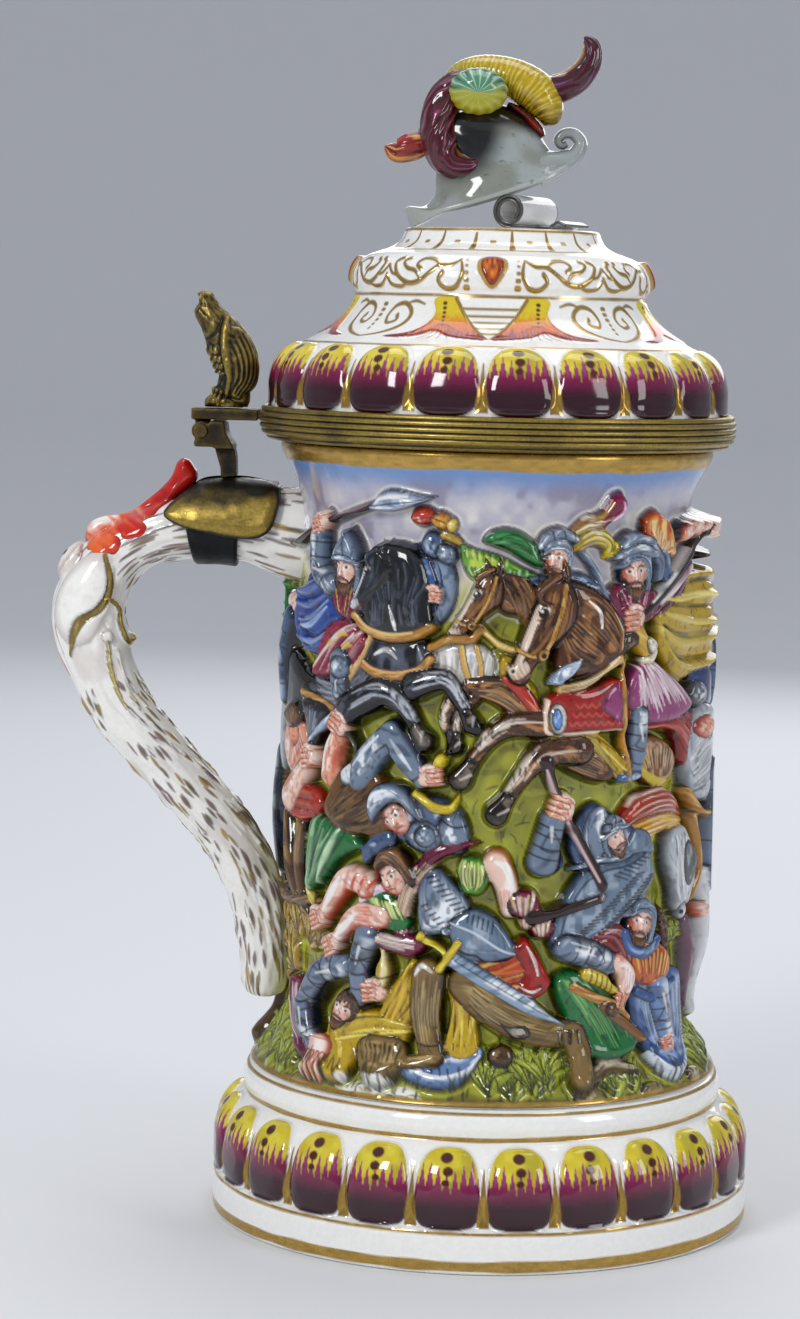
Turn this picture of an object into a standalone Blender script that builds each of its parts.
"""Lidded porcelain stein: relief body, bird's-head handle, brass hinge and helmet finial.

Metres, +Z up. The foot stands on z = 0 and the handle points to -X. The origin is the middle of the
whole object's footprint, so the vessel's own axis stands at x = AXIS_X. Outlines are written in
millimetres from the vessel's axis and scaled by MM.
"""

import bmesh
import bpy
from math import cos, pi, radians, sin
from mathutils import Vector

MM = 0.001
GAP = 0.3            # clearance between pieces that touch, mm
AXIS_X = 25.1        # vessel axis, from the middle of the footprint, mm

# Heights, mm
FOOT_TOP = 44.0
BODY_BOTTOM = FOOT_TOP + GAP
BODY_TOP = 225.0
RING_BOTTOM = BODY_TOP + GAP
PLATE_TOP = RING_BOTTOM + 2.0
FLANGE_BOTTOM = 219.0
DOME_BOTTOM = 231.3
DISC_TOP = 286.7

# Radii, mm
FOOT_RADIUS = 78.6
FOOT_RING_INNER = 69.0
MOUTH_RADIUS = 56.7
BORE_RADIUS = 50.8
RING_RADIUS = 69.2
DISC_RADIUS = 27.1

# Gadroons
FOOT_LOBES = 24
DOME_LOBES = 20
LOBE_DEPTH = 2.0
LOBE_REACH = 7.0     # lobes stand only on the wall this near the widest radius
TURN_STEPS = 60

# Hinge, mm
HINGE = (-85.4, 0.0, 227.0)
KNUCKLE_RADIUS = 2.7
PIN_RADIUS = 1.2
BARREL_HALF = 8.0
KNUCKLES = 5
KNUCKLE_STEPS = 20
TANG_BOTTOM = 230.2
TANG_TOP = 233.4
TANG_END = -88.4
TANG_HALF = 5.5

# Outer wall of the body from its bottom to its lip: radius, height
BODY_WALL = [
    (67.4, BODY_BOTTOM), (66.4, 46.8), (63.4, 52), (62.4, 60), (62.8, 90), (61.2, 150), (61.6, 180), (58.6, 203),
    (56.9, 209), (61.2, 220), (62.4, 222.8), (61.9, BODY_TOP),
]
BODY_BORE = [
    (57, BODY_TOP), (MOUTH_RADIUS, 217), (51.4, 208), (BORE_RADIUS, 200), (BORE_RADIUS, 58), (46, 51), (0, 50.5),
]
FOOT_SECTION = [
    (67.4, FOOT_TOP), (69.0, 42), (69.2, 37), (73.4, 33.4), (77.2, 26), (78.3, 18), (78.2, 13), (FOOT_RADIUS, 11),
    (FOOT_RADIUS, 1.2), (77.8, 0), (FOOT_RING_INNER, 0), (70, 10), (69, 24), (61, 34), (54.5, FOOT_TOP),
]
DOME_OUTSIDE = [
    (0, DISC_TOP), (DISC_RADIUS, DISC_TOP), (32, 281), (39.6, 277.8), (43.6, 272), (42.8, 267.6), (46.2, 260.9),
    (52, 256.3), (58.6, 252.6), (64, 247), (66.2, 240), (66.0, 236.2), (65.6, 234.8), (65.6, DOME_BOTTOM),
]
DOME_INSIDE = [
    (58, DOME_BOTTOM), (58.5, 239), (50, 250), (37.5, 260), (35.8, 267), (29, 274.5), (0, 279),
]
RING_SECTION = [
    (67.8, 234.9), (68.8, 233.8), (RING_RADIUS, 231.8), (68.9, 229), (67.6, 226.4), (66, RING_BOTTOM),
    (56.5, RING_BOTTOM), (56.5, PLATE_TOP), (66, PLATE_TOP), (66.2, 234.9),
]
FLANGE_SECTION = [
    (60, 228.6), (60, 227.6), (55.9, 227.6), (55.9, FLANGE_BOTTOM), (53.9, FLANGE_BOTTOM), (53.9, 228.6),
]
BEDDING_SECTION = [(65.6, 231.0), (65.6, 227.6), (60.4, 227.6), (60.4, 231.0)]

# Handle: x, y, z, half thickness in its own plane, half width across it
HANDLE = [
    (-46, 0, 196, 15, 12), (-58, 0, 197.6, 13.4, 11.5), (-69, 0, 199.4, 11.2, 10.8), (-80, 0, 199.9, 10, 10.4),
    (-90, 0, 198.6, 9.2, 10), (-99, 0, 196.2, 8.4, 9.6), (-107.5, 0, 191.5, 8.2, 9.4), (-114, 0, 184.6, 9.4, 9.6),
    (-117.9, 0, 173.5, 10.9, 10), (-115.8, 0, 164, 10.4, 9.4), (-113.4, 0, 156.5, 9.4, 9), (-109.8, 0, 148.5, 9, 8.6),
    (-104.4, 0, 141, 8.7, 8.5), (-97, 0, 132.8, 8.5, 8.5), (-89.5, 0, 124.5, 8.4, 8.5), (-82, 0, 116.3, 8.3, 8.5),
    (-75, 0, 107.5, 8.2, 8.6), (-69.6, 0, 97.5, 8, 8.8), (-66.2, 0, 86, 7.8, 9), (-64.6, 0, 74, 7.4, 9),
    (-64.4, 0, 64.5, 6.4, 8.4), (-64.4, 0, 62, 4, 6),
]
# Side views, x and z
COMB_CREST = [
    (-90.8, 218.8), (-95.3, 212.3), (-97.9, 209.3), (-101.9, 206.3), (-106.5, 203.3), (-106.5, 199), (-98, 202),
    (-90, 207), (-86.8, 213.4), (-87.6, 217.2),
]
COMB_LOBES = [
    (-96.8, 208), (-101.9, 205.6), (-106.5, 203), (-112.5, 201.4), (-117.8, 200.1), (-120, 196.6), (-118.6, 192.8),
    (-113, 190.6), (-108.4, 192), (-108.2, 196), (-100.6, 196.2), (-100.2, 200), (-96.8, 201),
]
COMB_NOTCH = [(-98, 200), (-90, 206.4), (-86.3, 212.8), (-86.3, 220), (-91, 220), (-98, 212)]
CREST_HALF = 4.6
SADDLE = [
    (-95.8, 203.6), (-92, 207.8), (-88, 211.8), (-84, 216), (-62.6, 216), (-61.2, 211.5), (-62.2, 205), (-63.5, 200.3),
    (-67.2, 196.8), (-73.9, 196.8), (-82, 197.8), (-89, 199.2), (-93.6, 201),
]
BAND = [(-89, 198.8), (-81.9, 197.4), (-73.9, 196.4), (-72.8, 196.4), (-72.8, 180), (-89, 180)]
POST = [
    (-82.9, 229.8), (-78.6, 229.8), (-78.2, 226.4), (-76.2, 223.2), (-75.4, 219.5), (-75.2, 212), (-79.6, 212),
    (-79.9, 216.5), (-81.4, 221.2), (-81.6, 222.4), (-87.2, 222.4), (-87.4, 223.8), (-86.2, 225.6), (-84, 228),
]


def clear_scene():
    for item in list(bpy.data.objects):
        bpy.data.objects.remove(item, do_unlink=True)


def material(name, colour, roughness, metallic=0.0):
    made = bpy.data.materials.new(name)
    made.use_nodes = True
    shader = made.node_tree.nodes["Principled BSDF"]
    shader.inputs["Base Color"].default_value = (*colour, 1.0)
    shader.inputs["Roughness"].default_value = roughness
    shader.inputs["Metallic"].default_value = metallic
    made.diffuse_color = (*colour, 1.0)
    return made


def empty(name, place, parent=None):
    marker = bpy.data.objects.new(name, None)
    bpy.context.collection.objects.link(marker)
    marker.location = place
    marker.parent = parent
    return marker


def piece(name, mesh, finish, parent, pivot=(0, 0, 0)):
    """Link a mesh, drawn in mm from the vessel's axis, as an object whose origin is the pivot."""
    bmesh.ops.translate(mesh, verts=mesh.verts, vec=-Vector(pivot))
    bmesh.ops.scale(mesh, verts=mesh.verts, vec=(MM, MM, MM))
    bmesh.ops.recalc_face_normals(mesh, faces=mesh.faces)
    data = bpy.data.meshes.new(name)
    mesh.to_mesh(data)
    mesh.free()
    data.materials.append(finish)
    data.shade_smooth()
    data.set_sharp_from_angle(angle=radians(40))
    made = bpy.data.objects.new(name, data)
    bpy.context.collection.objects.link(made)
    made.parent = parent
    return made


def combine(target, operation, mesh, parent, pivot=(0, 0, 0)):
    """Join a mesh to a piece, or cut the piece with it, by a Boolean with a hidden tool."""
    tool = piece(f"tool_{target.name}_{len(target.modifiers)}", mesh, target.data.materials[0], parent, pivot)
    tool.hide_render = True
    tool.display_type = "WIRE"
    step = target.modifiers.new(operation.lower(), "BOOLEAN")
    step.operation = operation
    step.object = tool
    return target


def turned(profile, closed, lobes=0, span=(0, 0), steps=TURN_STEPS, turn=0.0):
    """Turn a profile (radius, height) about the vessel's axis, with grooves between lobes inside span."""
    mesh = bmesh.new()
    rings = []
    outer_edge = max(radius for radius, _ in profile)
    for radius, height in profile:
        if radius == 0:
            rings.append([mesh.verts.new((0, 0, height))])
            continue
        swell = 0.0
        if lobes and span[0] < height < span[1] and radius > outer_edge - LOBE_REACH:
            swell = LOBE_DEPTH * sin(pi * (height - span[0]) / (span[1] - span[0]))
        ring = []
        for i in range(steps):
            angle = 2 * pi * i / steps
            groove = abs(sin(lobes * (angle - turn) / 2)) ** 3 if swell else 0
            r = radius - swell * groove
            ring.append(mesh.verts.new((r * cos(angle), r * sin(angle), height)))
        rings.append(ring)
    pairs = list(zip(rings, rings[1:]))
    if closed:
        pairs.append((rings[-1], rings[0]))
    for above, below in pairs:
        for i in range(steps):
            j = (i + 1) % steps
            loop = [above[i % len(above)], above[j % len(above)], below[j % len(below)], below[i % len(below)]]
            mesh.faces.new(list(dict.fromkeys(loop)))
    return mesh


def smooth_path(stations, samples):
    """Catmull-Rom curve through the stations, with every value of a station interpolated alike."""
    padded = [stations[0]] + list(stations) + [stations[-1]]
    spans = len(stations) - 1
    path = []
    for i in range(samples):
        at = spans * i / (samples - 1)
        k = min(int(at), spans - 1)
        t = at - k
        p0, p1, p2, p3 = padded[k:k + 4]
        path.append([
            0.5 * (2 * b + (c - a) * t + (2 * a - 5 * b + 4 * c - d) * t * t + (3 * b - a - 3 * c + d) * t ** 3)
            for a, b, c, d in zip(p0, p1, p2, p3)
        ])
    return path


def swept(stations, samples, sides=12, grow=0.0, across=(0, 1, 0)):
    """Sweep an ellipse along stations (x, y, z, half thickness, half width); across is the width's side."""
    path = smooth_path(stations, samples)
    mesh = bmesh.new()
    across = Vector(across)
    rings = []
    for k, (x, y, z, thick, wide) in enumerate(path):
        ahead = Vector(path[min(k + 1, samples - 1)][:3])
        behind = Vector(path[max(k - 1, 0)][:3])
        along = (ahead - behind).normalized()
        normal = along.cross(across).normalized()
        side = normal.cross(along)
        centre = Vector((x, y, z))
        if grow and k in (0, samples - 1):
            centre += along * (grow if k else -grow)
        rings.append([
            mesh.verts.new(
                centre
                + normal * (thick + grow) * cos(2 * pi * i / sides)
                + side * (wide + grow) * sin(2 * pi * i / sides)
            )
            for i in range(sides)
        ])
    for above, below in zip(rings, rings[1:]):
        for i in range(sides):
            j = (i + 1) % sides
            mesh.faces.new((above[i], above[j], below[j], below[i]))
    mesh.faces.new(rings[0])
    mesh.faces.new(rings[-1])
    return mesh


def lofted(stations, samples, sides=14, grow=0.0):
    """Loft upright ellipses along X through stations (x, lowest z, highest z, half width)."""
    path = smooth_path(stations, samples)
    mesh = bmesh.new()
    rings = []
    for k, (x, low, high, wide) in enumerate(path):
        x += grow * (-1 if k == 0 else 1 if k == samples - 1 else 0)
        rings.append([
            mesh.verts.new((
                x,
                (wide + grow) * sin(2 * pi * i / sides),
                (low + high) / 2 + ((high - low) / 2 + grow) * cos(2 * pi * i / sides),
            ))
            for i in range(sides)
        ])
    for above, below in zip(rings, rings[1:]):
        for i in range(sides):
            j = (i + 1) % sides
            mesh.faces.new((above[i], above[j], below[j], below[i]))
    mesh.faces.new(rings[0])
    mesh.faces.new(rings[-1])
    return mesh


def prism(outline, start, end, plane="XZ"):
    """Extrude a closed outline from start to end, along Y for an XZ outline or along Z for an XY one."""
    mesh = bmesh.new()
    place = (lambda a, b, h: (a, h, b)) if plane == "XZ" else (lambda a, b, h: (a, b, h))
    first = [mesh.verts.new(place(a, b, start)) for a, b in outline]
    last = [mesh.verts.new(place(a, b, end)) for a, b in outline]
    mesh.faces.new(first)
    mesh.faces.new(last)
    for i in range(len(outline)):
        j = (i + 1) % len(outline)
        mesh.faces.new((first[i], first[j], last[j], last[i]))
    return mesh


def round_outline(centre, radius, steps=KNUCKLE_STEPS):
    return [
        (centre[0] + radius * cos(2 * pi * i / steps), centre[1] + radius * sin(2 * pi * i / steps))
        for i in range(steps)
    ]


def grown(profile, by):
    return [(radius + by if radius else 0, height) for radius, height in profile]


def solid_wall(by):
    """The body's outer shape as one plug, larger by a clearance, to trim what is luted to it."""
    return turned([(0, BODY_BOTTOM)] + grown(BODY_WALL, by) + [(0, BODY_TOP)], closed=False)


def knuckle_span(index):
    length = (2 * BARREL_HALF - (KNUCKLES - 1) * GAP) / KNUCKLES
    start = -BARREL_HALF + index * (length + GAP)
    return start, start + length


def build_vessel(vessel, porcelain, gilded):
    piece("tankard_body", turned([(0, BODY_BOTTOM)] + BODY_WALL + BODY_BORE, closed=False), gilded, vessel)
    foot = turned(FOOT_SECTION, True, FOOT_LOBES, (11, 38), steps=3 * FOOT_LOBES, turn=radians(-81.5))
    piece("foot", foot, porcelain, vessel)


def build_handle(vessel, porcelain, red):
    handle = piece("handle", swept(HANDLE, 40, 14), porcelain, vessel)
    combine(handle, "DIFFERENCE", solid_wall(GAP), vessel)
    comb = piece("handle_comb", prism(COMB_LOBES, -10.6, 10.6), red, vessel)
    combine(comb, "UNION", prism(COMB_CREST, -CREST_HALF, CREST_HALF), vessel)
    combine(comb, "DIFFERENCE", swept(HANDLE, 40, 14, GAP), vessel)


def build_strap(vessel, brass, dark, plaster):
    arm = HANDLE[:8]
    saddle = piece("strap_saddle", prism(SADDLE, -16, 16), brass, vessel)
    combine(saddle, "INTERSECT", swept(arm, 16, 14, 4.2), vessel)
    combine(saddle, "DIFFERENCE", swept(arm, 16, 14, 2.4), vessel)
    combine(saddle, "DIFFERENCE", prism(COMB_NOTCH, -CREST_HALF - GAP, CREST_HALF + GAP), vessel)
    inner = [(-91, 205.5), (-88.5, 209), (-85, 214), (-63.4, 214), (-62.8, 205), (-64.4, 200.8), (-89.4, 200.8)]
    packing = piece("strap_packing", prism(inner, -15, 15), plaster, vessel)
    combine(packing, "INTERSECT", swept(arm, 16, 14, 2.1), vessel)
    combine(packing, "DIFFERENCE", swept(HANDLE, 40, 14, 0.5), vessel)
    combine(packing, "DIFFERENCE", prism(COMB_NOTCH, -CREST_HALF - GAP, CREST_HALF + GAP), vessel)
    band = piece("strap_band", prism(BAND, -14, 14), dark, vessel)
    combine(band, "INTERSECT", swept(arm, 16, 14, 2.1), vessel)
    combine(band, "DIFFERENCE", swept(HANDLE, 40, 14, 0.5), vessel)


def build_hinge_post(vessel, brass):
    barrel = round_outline((HINGE[0], HINGE[2]), KNUCKLE_RADIUS)
    post = piece("hinge_post", prism(POST, -BARREL_HALF, BARREL_HALF), brass, vessel)
    for index in range(0, KNUCKLES, 2):
        combine(post, "UNION", prism(barrel, *knuckle_span(index)), vessel)
    for index in range(1, KNUCKLES, 2):
        start, end = knuckle_span(index)
        slot = round_outline((HINGE[0], HINGE[2]), 4.4)
        combine(post, "DIFFERENCE", prism(slot, start - GAP, end + GAP), vessel)
    bore = round_outline((HINGE[0], HINGE[2]), PIN_RADIUS + GAP)
    combine(post, "DIFFERENCE", prism(bore, -2 * BARREL_HALF, 2 * BARREL_HALF), vessel)
    waist = [(-90, 221.9), (-70, 221.9), (-70, 205), (-90, 205)]
    for side in (-1, 1):
        edges = sorted((side * 4.5, side * 2 * BARREL_HALF))
        combine(post, "DIFFERENCE", prism(waist, *edges), vessel)
    combine(post, "DIFFERENCE", swept(HANDLE[:8], 16, 14, 4.5), vessel)


def build_pin(vessel, brass):
    centre = (HINGE[0], HINGE[2])
    shank = prism(round_outline(centre, PIN_RADIUS), -BARREL_HALF - GAP, BARREL_HALF + GAP)
    pin = piece("hinge_pin", shank, brass, vessel)
    for side in (-1, 1):
        edges = sorted((side * (BARREL_HALF + GAP), side * (BARREL_HALF + 1.2)))
        head = prism(round_outline(centre, 1.95), *edges)
        combine(pin, "UNION", head, vessel)


def build_tang(lid, brass):
    """The arm behind the lid, with its two knuckles and the curve that meets the ring."""
    outline = [(TANG_END, -TANG_HALF), (-60, -TANG_HALF - 2), (-60, TANG_HALF + 2), (TANG_END, TANG_HALF)]
    tang = piece("lid_tang", prism(outline, TANG_BOTTOM, TANG_TOP, "XY"), brass, lid, HINGE)
    for index in range(1, KNUCKLES, 2):
        start, end = knuckle_span(index)
        knuckle = round_outline((HINGE[0], HINGE[2]), KNUCKLE_RADIUS)
        combine(tang, "UNION", prism(knuckle, start, end), lid, HINGE)
        web = [(-87.3, 227), (-83.5, 227), (-83.5, 231), (-87.3, 231)]
        combine(tang, "UNION", prism(web, start, end), lid, HINGE)
    ring_edge = round_outline((0, 0), RING_RADIUS + GAP, 2 * TURN_STEPS)
    combine(tang, "DIFFERENCE", prism(ring_edge, 220, 240, "XY"), lid, HINGE)
    bore = round_outline((HINGE[0], HINGE[2]), PIN_RADIUS + GAP)
    combine(tang, "DIFFERENCE", prism(bore, -2 * BARREL_HALF, 2 * BARREL_HALF), lid, HINGE)


def build_thumblift(lid, brass):
    """A perched eagle: feet on the tang, folded wings behind, head up over the hinge."""
    body = [
        (-80, 0, 234.2, 5.2, 4.6), (-79.6, 0, 238, 4.8, 4.6), (-78.4, 0, 244, 6.2, 6.2), (-78.6, 0, 250, 7.2, 6.8),
        (-81, 0, 256, 6.6, 5.8), (-84.6, 0, 261, 4.8, 4.4), (-87, 0, 264.6, 3.4, 3.2), (-88, 0, 267, 1.2, 1.4),
    ]
    eagle = piece("thumblift_eagle", swept(body, 18, 12), brass, lid, HINGE)
    feet = [(-87, -4.6), (-72.4, -4.6), (-72.4, 4.6), (-87, 4.6)]
    combine(eagle, "UNION", prism(feet, TANG_TOP + GAP, 236.8, "XY"), lid, HINGE)
    combine(eagle, "DIFFERENCE", prism([(-99, -9), (-60, -9), (-60, 9), (-99, 9)], 225, TANG_TOP + GAP, "XY"), lid, HINGE)


def build_lid(lid, brass, porcelain, plaster):
    piece("lid_ring", turned(RING_SECTION, True), brass, lid, HINGE)
    piece("lid_flange", turned(FLANGE_SECTION, True, steps=48), brass, lid, HINGE)
    piece("lid_bedding", turned(BEDDING_SECTION, True, steps=48), plaster, lid, HINGE)
    outline = DOME_OUTSIDE + DOME_INSIDE
    dome = turned(outline, False, DOME_LOBES, (235, 254.5), steps=3 * DOME_LOBES, turn=radians(-85))
    piece("lid_dome", dome, porcelain, lid, HINGE)


def build_finial(lid, colours):
    """The helmet with its scroll and plumes; each later piece is trimmed clear of the earlier ones."""
    helmet = [
        (-27.7, 289.4, 291.4, 3.5), (-26.4, 287.4, 292.8, 7), (-23, 287.1, 293.4, 11), (-20.4, 287.3, 297, 13.5),
        (-18.8, 288.2, 305, 14.6), (-15, 289.6, 313.5, 15.4), (-9, 291, 319.6, 16), (-3, 293.2, 321.4, 16),
        (3, 295.6, 319.6, 15), (8.4, 297.8, 315, 12.6), (13.5, 300.6, 310.2, 9.2), (18, 303.2, 308.4, 6.2),
        (21, 305.2, 309.6, 4.2),
    ]
    curl = [
        (18, 0, 305.8, 2.2, 3.6), (21.6, 0, 308.4, 2, 3.4), (22, 0, 312.2, 1.9, 3.2), (19.6, 0, 314.2, 1.7, 3),
        (17.4, 0, 313.4, 1.3, 2.6),
    ]
    scroll = [
        (1.6, -14, 291.9, 4.7, 4.7), (4, -8, 291.9, 4.7, 4.7), (8.5, 3, 291.9, 4.7, 4.7), (12, 12, 291.9, 4.7, 4.7),
    ]
    crimson = [
        (-12.5, -2, 328.4, 2.6, 5), (-17.5, -3, 326, 4.4, 7), (-20.6, -4, 320.6, 4.6, 8), (-21, -5, 314, 4.6, 8),
        (-18.6, -6, 307.4, 4.6, 8), (-13.6, -8, 304.4, 3, 6),
    ]
    orange = [(-22, 0, 310.5, 2, 3), (-26.5, 0, 309.6, 3.6, 4.4), (-30.4, 0, 307.8, 3, 4), (-34.2, 0, 309, 0.8, 1.4)]
    green = [(-15.4, -9, 325.6, 1.8, 2.2), (-12, -9, 325.8, 5.6, 6), (-7, -9, 326, 6.4, 6.6), (-2.5, -9, 326, 5.2, 5.4),
             (0.4, -9, 326, 1.4, 2)]
    crest = [
        (-14.5, 2, 329.4, 2, 4), (-9, 2, 330.6, 4.4, 7), (-2, 1, 330.4, 5, 8), (5, 0, 328.4, 5.6, 8.4),
        (11, 0, 323.8, 5.2, 7.4), (13.2, 0, 318.4, 2, 3.4),
    ]
    tail = [
        (10, 2, 329.5, 2, 2.6), (14.5, 2, 327.4, 4, 4), (20, 2, 328.6, 4.2, 4), (24, 2, 333, 3.6, 3.6),
        (24.6, 2, 338.6, 3, 3), (22.8, 2, 342.4, 1.1, 1.3),
    ]
    strap = [(1.5, -11, 321.5, 1.2, 2), (6, -11.5, 317.8, 1.3, 2.2), (10.6, -11, 313.2, 1.2, 2)]
    made = piece("finial_helmet", lofted(helmet, 20), colours["grey"], lid, HINGE)
    combine(made, "UNION", swept(curl, 10, 10), lid, HINGE)
    shapes = [
        ("finial_scroll", scroll, 8, "paper", (0, 0, 1)), ("plume_crimson", crimson, 12, "crimson", (0, 1, 0)),
        ("plume_orange", orange, 8, "orange", (0, 1, 0)), ("plume_green", green, 9, "green", (0, 1, 0)),
        ("crest_yellow", crest, 12, "yellow", (0, 1, 0)), ("curl_crimson", tail, 12, "crimson", (0, 1, 0)),
        ("helmet_strap", strap, 6, "red", (0, 1, 0)),
    ]
    for index, (name, stations, samples, colour, across) in enumerate(shapes):
        sides = 12 if name != "helmet_strap" else 8
        made = piece(name, swept(stations, samples, sides, across=across), colours[colour], lid, HINGE)
        combine(made, "DIFFERENCE", lofted(helmet, 20, grow=GAP), lid, HINGE)
        for other, points, count, _, side in shapes[:index]:
            if other != "finial_scroll":
                combine(made, "DIFFERENCE", swept(points, count, 12, GAP, side), lid, HINGE)


def build():
    clear_scene()
    vessel = empty("vessel", (AXIS_X * MM, 0, 0))
    lid = empty("lid_axis", [value * MM for value in HINGE], vessel)
    porcelain = material("white porcelain", (0.85, 0.84, 0.80), 0.12)
    painted = material("painted porcelain", (0.42, 0.40, 0.30), 0.12)
    brass = material("old brass", (0.42, 0.33, 0.14), 0.4, 1.0)
    dark = material("dark brass", (0.07, 0.07, 0.06), 0.5, 1.0)
    plaster = material("plaster", (0.7, 0.68, 0.62), 0.9)
    red = material("red glaze", (0.6, 0.06, 0.03), 0.12)
    colours = {
        "grey": material("grey glaze", (0.33, 0.35, 0.33), 0.12),
        "paper": material("paper white glaze", (0.8, 0.79, 0.77), 0.15),
        "crimson": material("crimson glaze", (0.25, 0.01, 0.07), 0.12),
        "orange": material("orange glaze", (0.55, 0.16, 0.03), 0.12),
        "green": material("green glaze", (0.35, 0.42, 0.08), 0.12),
        "yellow": material("yellow glaze", (0.5, 0.4, 0.03), 0.12),
        "red": red,
    }
    build_vessel(vessel, porcelain, painted)
    build_handle(vessel, porcelain, red)
    build_strap(vessel, brass, dark, plaster)
    build_hinge_post(vessel, brass)
    build_pin(vessel, brass)
    build_tang(lid, brass)
    build_thumblift(lid, brass)
    build_lid(lid, brass, porcelain, plaster)
    build_finial(lid, colours)


build()
